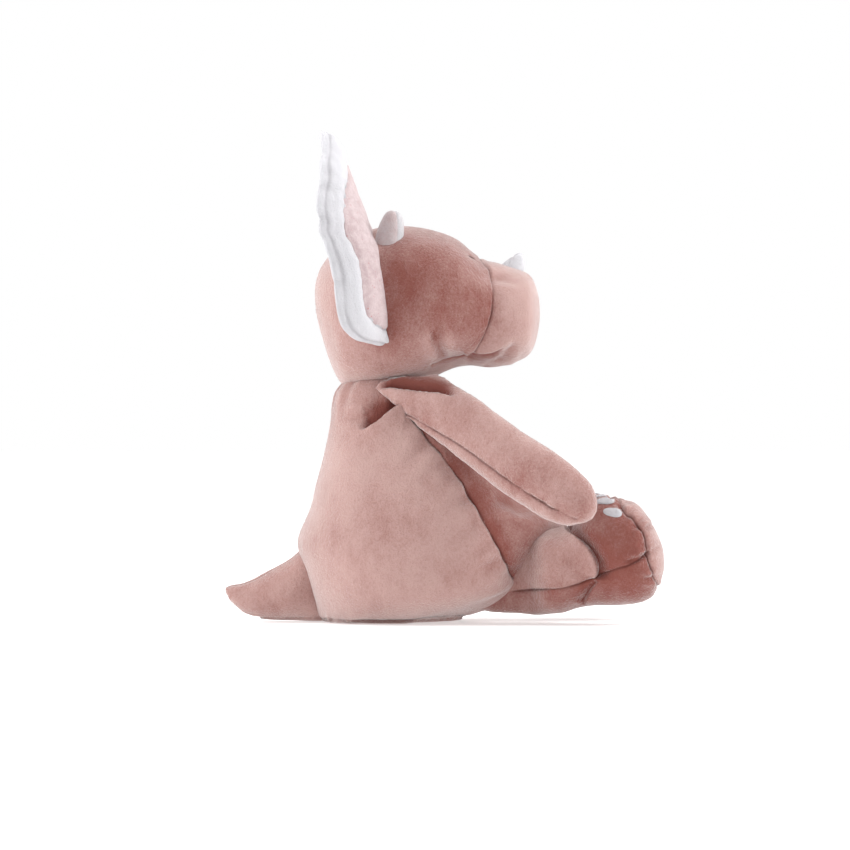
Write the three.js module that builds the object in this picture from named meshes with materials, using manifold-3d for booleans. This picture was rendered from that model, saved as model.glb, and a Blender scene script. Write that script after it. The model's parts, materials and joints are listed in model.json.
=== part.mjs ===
// A seated plush triceratops: velour covers sewn from panels over fibre filling, with a padded
// neck frill, three horns, hanging arms, stub legs with appliqued claws, and a tail.
// Millimetres, +Z up. The toy faces +X, and its right side is -Y. The origin is the middle of
// the flat seat that it rests on.
import * as THREE from "three";
import { mergeVertices } from "three/addons/utils/BufferGeometryUtils.js";
import Module from "manifold-3d";

const wasm = await Module();
wasm.setup();

// ---- Driving dimensions ----
const WALL = 2.4; // velour with its backing and pile
const TRIM_WALL = 1.6; // the thinner cloth of the horns, claws and eyes
const GAP = 0.4; // clearance between neighbouring pieces
const MOVING_GAP = 3.5; // clearance between pieces that move past each other
const NECK_GAP = 1; // clearance in the neck, where the head turns on the torso's ball
const FAR = 400; // longer than the toy in every direction
const SWEEP_STEPS = 3; // poses that stand for a joint's whole travel
const ROUGH_SIDES = 10; // of the rougher forms that cut those clearances
const SIDES = [
  ["right", -1],
  ["left", 1],
];

// Joints: a point on the axis, the axis and the travel in degrees. The limb joints are given for
// the left side.
const NECK = { at: [-9, 0, 133], axis: [0, 1, 0], travel: [-10, 10] };
const FRILL_FOLD = { at: [-15, 0, 240], axis: [0, 1, 0], travel: [-15, 0] };
const TAIL_ROOT = { at: [-64, 0, 28], axis: [0, 1, 0], travel: [0, 25] };
const SHOULDER = { at: [1.7, 36, 172], axis: [0.96, 0, 0.28], travel: [0, 80] };
const HIP = { at: [66, 34, 33], axis: [0, -1, 0], travel: [-4, 25] };
const LEG_SPLAY = 8; // degrees that each leg points outwards
const NECK_BALL = 52; // radius of the torso's rounded top about the neck joint
const NECK_BALL_FROM = 160; // height where it begins

// Key rings of the stuffed forms, each [x, y, z, lean, half height, half width]. A ring is an
// ellipse that faces +X when lean is 0 degrees and +Z when it is 90. A ring of no size is a pole.
const TORSO = [
  [2, 0, -5, 90, 0, 0],
  [2, 0, -3, 90, 46, 42],
  [5, 0, 7, 90, 63, 60],
  [9, 0, 22, 90, 75, 73],
  [11, 0, 40, 90, 83.5, 76],
  [9.5, 0, 58, 90, 86.5, 75],
  [11, 0, 80, 90, 79, 70],
  [8, 0, 100, 90, 72, 64],
  [3.5, 0, 122, 90, 61.5, 55],
  [-3, 0, 144, 90, 50, 45],
  [-8, 0, 160, 90, 43, 38],
  [-10, 0, 172, 90, 38, 34],
  [-10, 0, 181, 90, 24, 22],
  [-10, 0, 185, 90, 0, 0],
];
const HEAD = [
  [-64.5, 0, 237, 0, 0, 0],
  [-60, 0, 231, 0, 24, 25],
  [-48, 0, 220, 0, 48, 44],
  [-30, 0, 223, 0, 55.5, 53],
  [-8, 0, 225, 0, 58, 57],
  [15, 0, 226.5, 0, 54.5, 57],
  [35, 0, 226, 0, 48, 53],
  [50, 0, 222, 0, 42, 48],
  [66, 0, 219, 0, 37.5, 44],
  [82, 0, 218.5, 0, 32, 39],
  [91, 0, 221, 0, 23, 30],
  [96, 0, 225, 0, 0, 0],
];
const ARM = [
  [-3, 35, 176, -74, 0, 0],
  [1.7, 36, 172, -74, 23, 4],
  [24, 47, 156, -42, 19.5, 8],
  [42.5, 57, 141, -31, 20, 12],
  [71, 71, 118.5, -31, 21, 14.5],
  [94, 83, 103.5, -31, 22, 15],
  [113, 91.5, 91, -31, 21.5, 13.5],
  [126.5, 95, 82, -31, 16, 10],
  [135.5, 96, 75, -31, 0, 0],
];
const LEG = [
  [52, 0, 32, 0, 0, 0],
  [60, 0, 32, 0, 20, 19],
  [78, 0, 34, 0, 27, 25],
  [96, 0, 35, 0, 29, 27],
  [111, 0, 35, 2, 27, 26],
  [124, 0, 37, 6, 24.5, 24],
  [137, 0, 45, 13, 33, 28],
  [151, 0, 48, 15, 38.5, 30],
  [166, 0, 50, 15, 38, 30],
  [178, 0, 52, 15, 27, 22],
  [184.5, 0, 53.5, 15, 0, 0],
];
const TAIL = [
  [-50, 0, 31, 0, 0, 0],
  [-57, 0, 32, 0, 28, 27],
  [-70, 0, 31, 0, 30, 30],
  [-82, 0, 25, 0, 24, 26],
  [-94, 0, 20.5, 0, 19.5, 21],
  [-107, 0, 16.5, 0, 14.5, 15.5],
  [-118, 0, 17.5, 0, 9.5, 10],
  [-126, 0, 20.5, 0, 0, 0],
];
const POUCH = [
  [6, 0, 2.8, 90, 0, 0],
  [6, 0, 3.2, 90, 40, 38],
  [6, 0, 13, 90, 55, 52],
  [6, 0, 27, 90, 49, 46],
  [6, 0, 39, 90, 26, 24],
  [6, 0, 43, 90, 0, 0],
];

const BROW_HORN = { base: [-11, 28, 266], tip: [-6, 31, 293.5], root: 10 };
const NOSE_HORN = { base: [74, 0, 246], tip: [84, 0, 263.5], root: 8.5 };
const HORN_TAPER = [
  [0, 1],
  [0.4, 0.84],
  [0.75, 0.52],
  [0.93, 0.24],
];
const EYE = { at: [46, 27, 259], radius: 3.6 };
// Claws sit towards the outer edge of each foot. Their places are given like the leg's rings.
const CLAWS = { inner: [141, 1, 84.5], middle: [145, 10.5, 82.5], outer: [149, 20, 76.5] };
const CLAW_RADII = [7.5, 4.2, 6];

// Seams as curves in side view, each a list of [x, z].
const BELLY_SEAM = [
  [-6, 200],
  [0, 150],
  [15, 132.6],
  [39.9, 101.9],
  [64.9, 58.5],
  [82, 22.8],
  [88, -10],
];
const SNOUT_SEAM = [
  [48, 290],
  [54, 258],
  [61, 246],
  [62.5, 232],
  [60.5, 214],
  [52, 196],
  [36, 184],
  [22, 150],
];
const NAPE_SEAM = [
  [-27, 300],
  [-23.5, 280],
  [-18, 262],
  [-14.5, 235],
  [-13.5, 196],
  [-10, 150],
];
const CHIN_SEAM = [
  [20, 184],
  [50, 195],
  [66, 199],
  [84, 194],
  [110, 190],
];
const LEG_SEAM = [
  [30, 16],
  [80, 19.5],
  [111, 24],
  [131, 30.5],
  [150, 39],
  [171, 50],
  [200, 56],
];
const SEAT_SEAM_HEIGHT = 7;
const SOLE_PLANE = { at: [163, 62], facing: 30 }; // degrees that the sole faces upwards
const ARM_SLOPE = 31; // degrees that the arm points down
const ARM_SEAM_TILT = 35; // degrees that its seam leans out at the lower edge

// The frill's outline as seen from the front, its right half as [y, z] from the top to its base.
const FRILL_OUTLINE = [
  [26, 346],
  [45, 334],
  [68, 318],
  [92, 285],
  [84, 264],
  [83, 246],
  [91, 216],
  [86, 203],
  [68, 197],
  [34, 197],
];
const FRILL_TOP = [0, 350];
const FRILL_BASE = [0, 197];
const FRILL_CENTRE = [0, 262];
const FRILL_HALF_THICKNESS = 6.5;
const FRILL_EDGE_HALF_THICKNESS = WALL + GAP / 2;
const FRILL_COVER_SHARES = [0, 0.55, 0.8, 0.92, 1]; // of the way from the centre to the rim
const FRILL_INSET_SHARES = [0, 0.55, 0.8];
const FRILL_BORDER_SHARES = [0.805, 0.92, 1];
const FRILL_WADDING_SHARES = [0, 0.55, 0.8, 0.92];
const FRILL_RIM_POINTS = 34;
const FRILL_GAP = 1.5; // clearance to the head and horns
const FRILL_WADDING_GAP = 1.3; // wide, because the curled faces are split into flat triangles
// The front face on the middle plane, as [z, x], and how far it curls back at each height, as
// [z, millimetres for the cube of each 100 mm from the middle plane].
const FRILL_FRONT = [
  [180, -5.3],
  [222, -5.4],
  [244, -8],
  [280, -23.5],
  [360, -51],
];
const FRILL_CURL = [
  [180, 40],
  [211, 41],
  [247, 57],
  [263, 53],
  [281, 30],
  [304, 29],
  [334, 60],
  [360, 80],
];

// ---- Solids ----

// A closed surface as a manifold-3d solid.
function solidOf(geometry) {
  const plain = geometry.clone();
  plain.deleteAttribute("normal");
  plain.deleteAttribute("uv");
  const merged = mergeVertices(plain, 1e-4);
  const vertProperties = new Float32Array(merged.attributes.position.array);
  const triVerts = new Uint32Array(merged.index.array);
  return new wasm.Manifold(new wasm.Mesh({ numProp: 3, vertProperties, triVerts }));
}

function geometryOf(solid) {
  const mesh = solid.getMesh();
  const geometry = new THREE.BufferGeometry();
  geometry.setAttribute("position", new THREE.BufferAttribute(mesh.vertProperties.slice(), 3));
  geometry.setIndex(new THREE.BufferAttribute(mesh.triVerts.slice(), 1));
  geometry.computeVertexNormals();
  return geometry;
}

// A surface from its points and triangles, turned to face outwards.
function closedSurface(points, index) {
  let volume = 0;
  for (let i = 0; i < index.length; i += 3) {
    const [a, b, c] = [points[index[i]], points[index[i + 1]], points[index[i + 2]]];
    volume += a.dot(b.clone().cross(c));
  }
  const geometry = new THREE.BufferGeometry().setFromPoints(points);
  geometry.setIndex(volume > 0 ? index : index.slice().reverse());
  return geometry;
}

// A surface moved out along its normals, as a solid.
function grown(geometry, distance) {
  const surface = geometry.clone();
  surface.computeVertexNormals();
  const { position, normal } = surface.attributes;
  const point = new THREE.Vector3();
  const step = new THREE.Vector3();
  for (let i = 0; i < position.count; i++) {
    step.fromBufferAttribute(normal, i).multiplyScalar(distance);
    point.fromBufferAttribute(position, i).add(step);
    position.setXYZ(i, point.x, point.y, point.z);
  }
  return solidOf(surface);
}

// Joins ring `a` to ring `b`, each a list of point numbers. A ring of one point is a pole.
function joinRings(index, a, b) {
  const around = Math.max(a.length, b.length);
  for (let i = 0; i < around; i++) {
    const next = (i + 1) % around;
    const [a0, a1] = a.length === 1 ? [a[0], a[0]] : [a[i], a[next]];
    const [b0, b1] = b.length === 1 ? [b[0], b[0]] : [b[i], b[next]];
    if (a0 !== a1) index.push(a0, a1, b0);
    if (b0 !== b1) index.push(a1, b1, b0);
  }
}

// A closed surface through rings of points, each a list of vectors.
function skinned(rings) {
  const points = [];
  const index = [];
  let previous = null;
  for (const ring of rings) {
    const numbers = ring.map((point) => points.push(point) - 1);
    if (previous) joinRings(index, previous, numbers);
    previous = numbers;
  }
  return closedSurface(points, index);
}

// A stuffed form through its key rings.
function loft(keys, around) {
  return skinned(
    keys.map(([x, y, z, lean, halfHeight, halfWidth]) => {
      const centre = new THREE.Vector3(x, y, z);
      if (halfHeight === 0) return [centre];
      const tilt = THREE.MathUtils.degToRad(lean);
      const up = new THREE.Vector3(-Math.sin(tilt), 0, Math.cos(tilt));
      return Array.from({ length: around }, (_, i) => {
        const turn = (2 * Math.PI * (i + 0.5)) / around;
        const point = centre.clone().addScaledVector(up, halfHeight * Math.cos(turn));
        point.y += halfWidth * Math.sin(turn);
        return point;
      });
    }),
  );
}

function ellipsoid(centre, radii, around = 10) {
  const geometry = new THREE.SphereGeometry(1, around, around / 2);
  geometry.scale(...radii);
  geometry.translate(...centre);
  return solidOf(geometry);
}

function ball(centre, radius) {
  return ellipsoid(centre, [radius, radius, radius], 24);
}

// Everything on one side of a plane, the side that `direction` points to.
function halfSpace(point, direction) {
  const geometry = new THREE.BoxGeometry(2 * FAR, 2 * FAR, 2 * FAR);
  geometry.translate(0, 0, FAR);
  const facing = new THREE.Vector3(...direction).normalize();
  const turn = new THREE.Quaternion().setFromUnitVectors(new THREE.Vector3(0, 0, 1), facing);
  geometry.applyQuaternion(turn);
  geometry.translate(...point);
  return solidOf(geometry);
}

const above = (height) => halfSpace([0, 0, height], [0, 0, 1]);
const below = (height) => halfSpace([0, 0, height], [0, 0, -1]);

// Everything beyond a seam in side view, as wide as the space around the toy. `corner` takes
// each of the seam's ends to the far edge of that space.
function beyondSeam(seam, corner) {
  const points = seam.map(([x, z]) => new THREE.Vector2(x, z));
  const curve = new THREE.SplineCurve(points).getPoints(2 * points.length);
  const shape = new THREE.Shape([...curve, corner(points.at(-1)), corner(points[0])]);
  const geometry = new THREE.ExtrudeGeometry(shape, { depth: 2 * FAR, bevelEnabled: false });
  geometry.translate(0, 0, -FAR);
  geometry.rotateX(Math.PI / 2);
  return solidOf(geometry);
}

const aheadOf = (seam) => beyondSeam(seam, (end) => new THREE.Vector2(FAR, end.y));
const under = (seam) => beyondSeam(seam, (end) => new THREE.Vector2(end.x, -FAR));

function moved(solid, matrix) {
  return solid.transform(matrix.elements);
}

function turnAbout(joint, degrees) {
  const centre = new THREE.Vector3(...joint.at);
  const axis = new THREE.Vector3(...joint.axis).normalize();
  return new THREE.Matrix4()
    .makeTranslation(centre)
    .multiply(new THREE.Matrix4().makeRotationAxis(axis, THREE.MathUtils.degToRad(degrees)))
    .multiply(new THREE.Matrix4().makeTranslation(centre.clone().negate()));
}

// The space that a solid passes through as a joint travels.
function sweptBy(solid, joint) {
  const [low, high] = joint.travel;
  const poses = Array.from({ length: SWEEP_STEPS }, (_, i) => {
    const degrees = low + ((high - low) * i) / (SWEEP_STEPS - 1);
    return moved(solid, turnAbout(joint, degrees));
  });
  return wasm.Manifold.union([solid, ...poses]);
}

// A joint seen from the piece that it moves, whose neighbours travel the other way.
function reversed(joint) {
  return { ...joint, travel: joint.travel.map((degrees) => -degrees) };
}

// A left-hand joint on either side of the toy. Mirroring a turn also reverses its axis along the toy.
function onSide(joint, side) {
  const [x, y, z] = joint.at;
  const [u, v, w] = joint.axis;
  return { ...joint, at: [x, side * y, z], axis: [side * u, v, side * w] };
}

// Cuts a cover in two at the edge of `cutter`, which moves back by `shift` to open the seam.
function split(cover, cutter, shift) {
  const movedBack = moved(cutter, new THREE.Matrix4().makeTranslation(...shift));
  return [cover.intersect(cutter), cover.subtract(movedBack)];
}

// ---- Materials ----
function cloth(colour) {
  return new THREE.MeshStandardMaterial({ color: colour, roughness: 0.95, metalness: 0 });
}
const MATERIALS = {
  rose: cloth(0xb98a82),
  inset: cloth(0xe1cdce),
  white: cloth(0xecebee),
  filling: cloth(0xf4f1ea),
  pouch: cloth(0xd9d2c4),
  thread: cloth(0x3a2a28),
};

const toy = new THREE.Group();

// Adds a solid as a named mesh, without any crumbs that a cut has left beside it.
function addMesh(name, solid, material) {
  const whole = solid.decompose().sort((a, b) => b.volume() - a.volume())[0];
  const mesh = new THREE.Mesh(geometryOf(whole), MATERIALS[material]);
  mesh.name = name;
  toy.add(mesh);
}

// ---- Forms, before they are cut into panels ----
const rightHalf = halfSpace([0, -GAP / 2, 0], [0, -1, 0]);
const leftHalf = halfSpace([0, GAP / 2, 0], [0, 1, 0]);

function armForm(side, around = 12) {
  return loft(ARM.map(([x, y, z, ...ring]) => [x, side * y, z, ...ring]), around);
}

// A point of the leg, which lies along X until it is splayed about the hip.
function splayed(x, y, side) {
  const angle = THREE.MathUtils.degToRad(LEG_SPLAY);
  const reach = x - HIP.at[0];
  const outwards = HIP.at[1] + reach * Math.sin(angle) + y * Math.cos(angle);
  return [HIP.at[0] + reach * Math.cos(angle) - y * Math.sin(angle), side * outwards];
}

function legForm(side, around = 14) {
  return loft(LEG.map(([x, y, z, ...ring]) => [...splayed(x, y, side), z, ...ring]), around);
}

function hornForm({ base, tip, root }, side) {
  const from = new THREE.Vector3(...base);
  const to = new THREE.Vector3(...tip);
  from.y *= side;
  to.y *= side;
  const lean = THREE.MathUtils.radToDeg(Math.atan2(to.z - from.z, to.x - from.x));
  const at = (share) => from.clone().lerp(to, share).toArray();
  const rings = HORN_TAPER.map(([share, size]) => [...at(share), lean, size * root, size * root]);
  return loft([[...at(-0.02), lean, 0, 0], ...rings, [...at(1), lean, 0, 0]], 10);
}

const torsoForm = loft(TORSO, 20);
const headForm = loft(HEAD, 20);
const tailForm = loft(TAIL, 12);

// ---- Torso ----
function addTorso() {
  const neckBall = ball(NECK.at, NECK_BALL);
  const passing = [
    sweptBy(grown(loft(HEAD, ROUGH_SIDES), MOVING_GAP).subtract(neckBall), NECK),
    sweptBy(grown(loft(TAIL, ROUGH_SIDES), MOVING_GAP), TAIL_ROOT),
    above(NECK_BALL_FROM).subtract(neckBall),
    below(0),
  ];
  for (const [, side] of SIDES) {
    passing.push(sweptBy(grown(legForm(side, ROUGH_SIDES), MOVING_GAP), onSide(HIP, side)));
    passing.push(grown(armForm(side, ROUGH_SIDES), MOVING_GAP));
  }
  const cleared = wasm.Manifold.union(passing);
  const lining = grown(torsoForm, -WALL).intersect(above(WALL));
  const cover = grown(torsoForm, 0).subtract(lining).subtract(cleared);
  const [seat, walls] = split(cover, below(SEAT_SEAM_HEIGHT), [0, 0, GAP]);
  const [belly, flanks] = split(walls, aheadOf(BELLY_SEAM), [-GAP, 0, 0]);
  addMesh("seat_panel", seat, "rose");
  addMesh("belly_panel", belly, "rose");
  addMesh("torso_side_right", flanks.intersect(rightHalf), "rose");
  addMesh("torso_side_left", flanks.intersect(leftHalf), "rose");

  const pouch = loft(POUCH, 16);
  const filling = grown(torsoForm, -WALL - GAP)
    .intersect(above(WALL + GAP))
    .subtract(cleared)
    .subtract(grown(pouch, GAP));
  addMesh("seat_pellet_pouch", grown(pouch, 0), "pouch");
  addMesh("torso_filling", filling, "filling");
}

// ---- Head ----
function addHead() {
  const neckHole = ball(NECK.at, NECK_BALL + NECK_GAP);
  const cover = grown(headForm, 0).subtract(grown(headForm, -WALL)).subtract(neckHole);
  const [front, back] = split(cover, aheadOf(NAPE_SEAM), [-GAP, 0, 0]);
  const [snout, cheeks] = split(front, aheadOf(SNOUT_SEAM), [-GAP, 0, 0]);
  const [chin, muzzle] = split(snout, under(CHIN_SEAM), [0, 0, GAP]);
  addMesh("head_back_right", back.intersect(rightHalf), "rose");
  addMesh("head_back_left", back.intersect(leftHalf), "rose");
  addMesh("head_cheek_right", cheeks.intersect(rightHalf), "rose");
  addMesh("head_cheek_left", cheeks.intersect(leftHalf), "rose");
  addMesh("muzzle_panel", muzzle, "rose");
  addMesh("chin_panel", chin, "rose");
  addMesh("head_filling", grown(headForm, -WALL - GAP).subtract(neckHole), "filling");

  const onTheHead = grown(headForm, GAP);
  for (const [name, side] of SIDES) {
    const [x, y, z] = EYE.at;
    const spot = ellipsoid([x, side * y, z], [EYE.radius, EYE.radius, EYE.radius]);
    const eye = grown(headForm, GAP + TRIM_WALL).intersect(spot).subtract(onTheHead);
    addMesh(`eye_${name}`, eye, "thread");
    addHorn(`brow_horn_${name}`, BROW_HORN, side, onTheHead);
  }
  addHorn("nose_horn", NOSE_HORN, 1, onTheHead);
}

function addHorn(name, horn, side, onTheHead) {
  const form = hornForm(horn, side);
  const hollow = grown(form, -TRIM_WALL);
  addMesh(`${name}_cover`, grown(form, 0).subtract(hollow).subtract(onTheHead), "white");
  addMesh(`${name}_filling`, grown(form, -TRIM_WALL - GAP).subtract(onTheHead), "filling");
}

// ---- Frill ----
function frillRim() {
  const half = (sign) => FRILL_OUTLINE.map(([y, z]) => [sign * y, z]);
  const outline = [FRILL_TOP, ...half(1), FRILL_BASE, ...half(-1).reverse()];
  const points = outline.map(([y, z]) => new THREE.Vector3(y, z, 0));
  const rim = new THREE.CatmullRomCurve3(points, true, "catmullrom", 0.5);
  return rim.getSpacedPoints(FRILL_RIM_POINTS).slice(0, -1);
}

// Reads a table of [height, value] rows at a height.
function valueAt(height, table) {
  const last = table.findIndex(([rowHeight]) => rowHeight >= height);
  const [[z0, value0], [z1, value1]] = [table[last - 1], table[last]];
  return THREE.MathUtils.mapLinear(height, z0, z1, value0, value1);
}

function frillFrontX(y, z) {
  return valueAt(z, FRILL_FRONT) - valueAt(z, FRILL_CURL) * Math.abs(y / 100) ** 3;
}

function frillHalfThickness(share) {
  const swell = FRILL_HALF_THICKNESS - FRILL_EDGE_HALF_THICKNESS;
  return FRILL_EDGE_HALF_THICKNESS + swell * Math.sqrt(1 - share ** 6);
}

// A layer of the frill over some shares of its radius. `front` and `back` give its two faces
// from the frill's half thickness there.
function frillLayer(shares, front, back) {
  const rim = frillRim();
  const [centreY, centreZ] = FRILL_CENTRE;
  const ring = (share, face) => {
    const depth = face(frillHalfThickness(share)) - FRILL_HALF_THICKNESS;
    const targets = share === 0 ? rim.slice(0, 1) : rim;
    return targets.map((target) => {
      const y = THREE.MathUtils.lerp(centreY, target.x, share);
      const z = THREE.MathUtils.lerp(centreZ, target.y, share);
      return new THREE.Vector3(frillFrontX(y, z) + depth, y, z);
    });
  };
  const rings = shares.map((share) => ring(share, front));
  rings.push(...shares.toReversed().map((share) => ring(share, back)));
  if (shares[0] > 0) rings.push(rings[0]);
  return solidOf(skinned(rings));
}

function addFrill() {
  const neighbours = [grown(loft(HEAD, 2 * ROUGH_SIDES), FRILL_GAP)];
  for (const [, side] of SIDES) neighbours.push(grown(hornForm(BROW_HORN, side), FRILL_GAP));
  const cleared = sweptBy(wasm.Manifold.union(neighbours), reversed(FRILL_FOLD));
  const addLayer = (name, shares, front, back, material) =>
    addMesh(name, frillLayer(shares, front, back).subtract(cleared), material);
  const face = (t) => t;
  const lining = (t) => t - WALL;
  const wadding = (t) => t - WALL - FRILL_WADDING_GAP;
  addLayer("frill_back", FRILL_COVER_SHARES, (t) => -lining(t), (t) => -t, "white");
  addLayer("frill_border", FRILL_BORDER_SHARES, face, lining, "white");
  addLayer("frill_inset", FRILL_INSET_SHARES, face, lining, "inset");
  addLayer("frill_wadding", FRILL_WADDING_SHARES, wadding, (t) => -wadding(t), "filling");
}

// ---- Arms, legs and tail ----
function addArm(name, side) {
  const form = armForm(side);
  const cover = grown(form, 0).subtract(grown(form, -WALL));
  const [x, y, z] = ARM[4];
  const tilt = THREE.MathUtils.degToRad(ARM_SEAM_TILT);
  const slope = THREE.MathUtils.degToRad(ARM_SLOPE);
  const up = Math.sin(tilt);
  const outwards = [up * Math.sin(slope), side * Math.cos(tilt), up * Math.cos(slope)];
  const outerSpace = halfSpace([x, side * y, z], outwards);
  const [outer, inner] = split(cover, outerSpace, [0, -side * GAP, 0]);
  addMesh(`arm_${name}_outer_panel`, outer, "rose");
  addMesh(`arm_${name}_inner_panel`, inner, "rose");
  addMesh(`arm_${name}_filling`, grown(form, -WALL - GAP), "filling");
}

function addLeg(name, side) {
  const form = legForm(side);
  const rootX = LEG[1][0] + 1;
  const rootOpening = halfSpace([rootX, 0, 0], [-1, 0, 0]);
  const cover = grown(form, 0).subtract(grown(form, -WALL)).subtract(rootOpening);
  const facing = THREE.MathUtils.degToRad(SOLE_PLANE.facing);
  const splay = THREE.MathUtils.degToRad(LEG_SPLAY);
  const forwards = [
    Math.cos(facing) * Math.cos(splay),
    side * Math.cos(facing) * Math.sin(splay),
    Math.sin(facing),
  ];
  const [x, z] = SOLE_PLANE.at;
  const soleSpace = halfSpace([...splayed(x, 0, side), z], forwards);
  const [sole, tube] = split(cover, soleSpace, [-GAP, 0, 0]);
  const [lower, upper] = split(tube, under(LEG_SEAM), [0, 0, GAP]);
  addMesh(`leg_${name}_upper_panel`, upper, "rose");
  addMesh(`leg_${name}_lower_panel`, lower, "rose");
  addMesh(`foot_${name}_sole`, sole, "rose");
  addMesh(`leg_${name}_filling`, grown(form, -WALL - GAP), "filling");

  const layer = grown(form, GAP + TRIM_WALL).subtract(grown(form, GAP));
  for (const [place, [clawX, clawY, clawZ]] of Object.entries(CLAWS)) {
    const spot = [...splayed(clawX, clawY, side), clawZ];
    addMesh(`claw_${name}_${place}`, layer.intersect(ellipsoid(spot, CLAW_RADII)), "white");
  }
}

function addTail() {
  const rootOpening = halfSpace([TAIL[1][0] - 1, 0, 0], [1, 0, 0]);
  const cover = grown(tailForm, 0).subtract(grown(tailForm, -WALL)).subtract(rootOpening);
  addMesh("tail_side_right", cover.intersect(rightHalf), "rose");
  addMesh("tail_side_left", cover.intersect(leftHalf), "rose");
  addMesh("tail_filling", grown(tailForm, -WALL - GAP), "filling");
}

addTorso();
addHead();
addFrill();
for (const [name, side] of SIDES) {
  addArm(name, side);
  addLeg(name, side);
}
addTail();

export default toy;
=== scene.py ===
"""The looks of a seated plush triceratops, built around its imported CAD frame.

Each stuffed form is lofted, filled by a short cloth simulation with its seams pinned, and then
sculpted in code: sewn seams, gathers, creases and dimples. The frill, horns, claws and eyes are
built directly. Shapes are given in millimetres in the part's frame: +X is the way the toy faces,
+Z is up, and its right side is -Y.
"""
import json
import math

import bmesh
import bpy
import numpy as np
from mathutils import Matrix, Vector
from mathutils.bvhtree import BVHTree


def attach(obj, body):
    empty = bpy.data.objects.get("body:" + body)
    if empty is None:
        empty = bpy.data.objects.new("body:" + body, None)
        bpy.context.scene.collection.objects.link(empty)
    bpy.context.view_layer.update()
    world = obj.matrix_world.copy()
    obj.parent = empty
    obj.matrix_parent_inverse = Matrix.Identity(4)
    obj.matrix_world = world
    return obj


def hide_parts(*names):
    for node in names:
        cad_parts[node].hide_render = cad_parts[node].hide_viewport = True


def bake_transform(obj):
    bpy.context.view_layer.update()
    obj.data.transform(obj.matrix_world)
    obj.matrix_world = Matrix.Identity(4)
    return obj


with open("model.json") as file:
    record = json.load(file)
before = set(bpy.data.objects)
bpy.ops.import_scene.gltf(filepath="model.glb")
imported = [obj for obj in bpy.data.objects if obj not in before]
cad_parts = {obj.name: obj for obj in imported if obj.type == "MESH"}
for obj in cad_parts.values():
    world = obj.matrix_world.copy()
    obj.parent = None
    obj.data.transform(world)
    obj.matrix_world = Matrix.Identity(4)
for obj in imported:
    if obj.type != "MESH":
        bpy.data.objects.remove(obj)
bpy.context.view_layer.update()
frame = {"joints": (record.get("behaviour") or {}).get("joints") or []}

MM = 0.001
SIDES = {"right": -1, "left": 1}
JOINTS = {joint["name"]: joint for joint in frame["joints"]}

# ---- Key rings of the stuffed forms ----
# Each ring is [x, y, z, lean, half height, half width]. It faces +X when lean is 0 degrees and
# +Z when it is 90. A ring of no size closes the form.
TORSO = [
    [-11, 0, 0.5, 90, 0, 0],
    [-11, 0, 0.5, 90, 44, 42],
    [-5, 0, 6, 90, 57, 56],
    [3, 0, 13, 90, 67, 66],
    [9, 0, 23, 90, 76.5, 74],
    [11, 0, 40, 90, 83.5, 76],
    [10, 0, 58, 90, 87, 75],
    [10, 0, 80, 90, 79, 70],
    [7.5, 0, 100, 90, 72, 63],
    [3, 0, 122, 90, 61.5, 54],
    [-3.5, 0, 144, 90, 50.5, 44.5],
    [-9, 0, 158, 90, 43, 38],
    [-12, 0, 166, 90, 37, 34],
    [-10, 0, 176, 90, 27, 25],
    [-10, 0, 180, 90, 0, 0],
]
HEAD = [
    [-64.5, 0, 236, 0, 0, 0],
    [-61, 0, 230, 0, 23, 22],
    [-48, 0, 218.5, 0, 49.5, 43],
    [-30, 0, 221, 0, 58, 52],
    [-8, 0, 224, 0, 59, 57],
    [15, 0, 226, 0, 55, 57],
    [35, 0, 226.5, 0, 48, 53],
    [50, 0, 222, 0, 42, 48],
    [66, 0, 218.8, 0, 38, 44],
    [81, 0, 219, 0, 33.5, 40],
    [91, 0, 220.5, 0, 27, 32],
    [97, 0, 224, 0, 0, 0],
]
ARM = [
    [-5, 35, 176.6, -74, 0, 0],
    [-1, 36, 172.6, -74, 21.7, 5],
    [21, 46, 154.8, -46, 21.2, 9],
    [42, 57, 140.4, -31, 21, 12],
    [69.5, 71, 119, -31, 22, 15],
    [91.5, 83, 104.5, -31, 22.5, 15.5],
    [110, 91.5, 92, -31, 21.5, 13.5],
    [124, 95, 83, -31, 15.5, 10],
    [131.5, 96, 77, -31, 0, 0],
]
LEG = [
    [42, -4, 21, 0, 0, 0],
    [47, -4, 21, 0, 11, 11],
    [62, -7, 27.5, 0, 21, 13],
    [78, -8, 32.3, 0, 26.5, 14],
    [89, -6, 34.8, 0, 29.5, 18],
    [99.5, -1, 35, 0, 30, 25],
    [111, 0, 35.5, 0, 29, 27],
    [120, 0, 38, 4, 28, 26],
    [130, 0, 46, 8, 34.5, 27.5],
    [141, 0, 51.5, 10, 40, 30],
    [153, 0, 52.5, 12, 40.5, 31],
    [165, 0, 53.2, 13, 37, 29],
    [175, 0, 54, 13, 28, 22],
    [182.7, 0, 54.5, 13, 0, 0],
]
TAIL = [
    [-48, 0, 31, 0, 0, 0],
    [-54, 0, 29.5, 0, 27.5, 17],
    [-68, 0, 29.5, 0, 28, 21],
    [-82, 0, 24, 0, 22.5, 22],
    [-94, 0, 20.5, 0, 19, 19.5],
    [-107, 0, 16.5, 0, 14.5, 15.5],
    [-118, 0, 18, 0, 10.5, 11],
    [-126, 0, 21.5, 0, 6.5, 7],
    [-130, 0, 24, 0, 0, 0],
]
BLUNT = [
    [0.0, 1.0],
    [0.35, 0.98],
    [0.65, 0.87],
    [0.87, 0.65],
    [0.97, 0.36],
]
POINTED = [
    [0.0, 1.0],
    [0.3, 0.88],
    [0.6, 0.62],
    [0.85, 0.36],
    [0.96, 0.2],
]
BROW_HORN = {"base": [-12.5, 28, 263], "tip": [-7, 31.5, 291.5], "root": 10, "form": BLUNT}
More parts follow.
